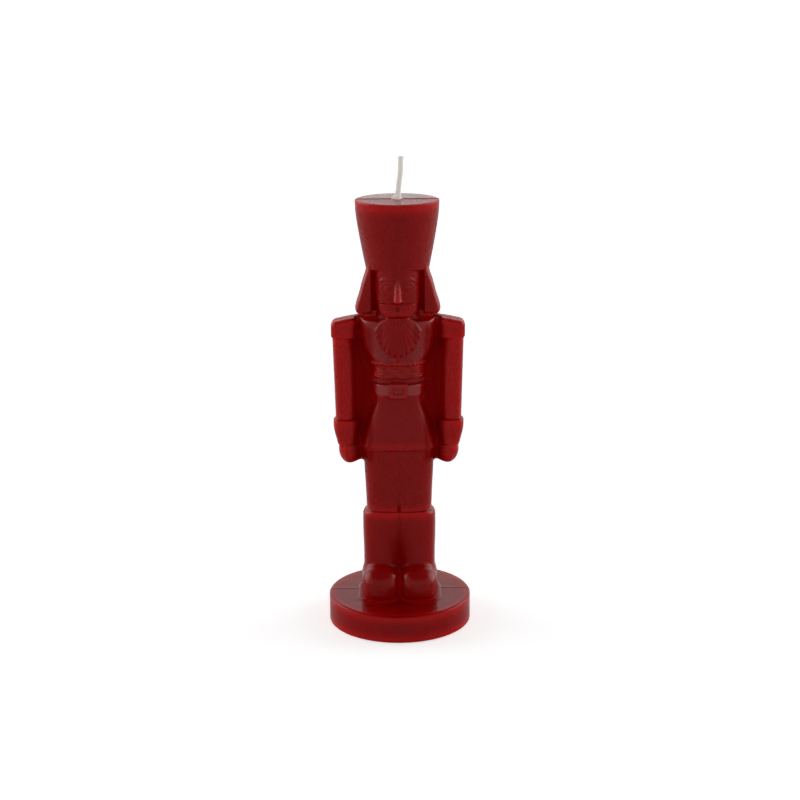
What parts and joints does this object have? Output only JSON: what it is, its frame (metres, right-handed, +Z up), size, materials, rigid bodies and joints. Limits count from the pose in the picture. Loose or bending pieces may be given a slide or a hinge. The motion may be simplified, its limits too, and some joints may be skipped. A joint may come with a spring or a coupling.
{
  "type": "nutcracker figure candle",
  "caption": "Solid wax candle cast as a toy soldier nutcracker in a tall hat, standing on a round foot, with a braided wick that bends at the hat",
  "frame": {"origin": "centre of the round foot's underside", "axes": "+Z up, the figure faces -Y, +X is towards the figure's own left arm"},
  "size_m": [0.05, 0.05, 0.1637],
  "materials": {
    "wax": "satin dyed paraffin wax",
    "cotton": "waxed cotton braid",
    "tinplate": "thin tinned steel"
  },
  "bodies": {
    "candle": {"foot": "wax", "boot_right": "wax", "boot_left": "wax", "trouser_right": "wax", "trouser_left": "wax", "tunic_skirt": "wax", "belt": "wax", "belt_buckle": "wax", "sash": "wax", "waist_braid": "wax", "bodice": "wax", "collar": "wax", "epaulette_right": "wax", "epaulette_left": "wax", "sleeve_right": "wax", "sleeve_left": "wax", "cuff_right": "wax", "cuff_left": "wax", "hand_right": "wax", "hand_left": "wax", "arm_web_right": "wax", "arm_web_left": "wax", "head": "wax", "eye_right": "wax", "eye_left": "wax", "eyebrow_right": "wax", "eyebrow_left": "wax", "nose": "wax", "moustache": "wax", "beard": "wax", "hair": "wax", "hat": "wax", "wick_core": "cotton", "wick_tab": "tinplate"},
    "free_wick": {"wick_end": "cotton"}
  },
  "joints": [
    {"name": "wick_bend", "type": "hinge", "parent": "candle", "child": "free_wick", "pos_m": [0, 0.002, 0.15042], "axis": [0, 1, 0], "range_deg": [-55, 55]}
  ]
}
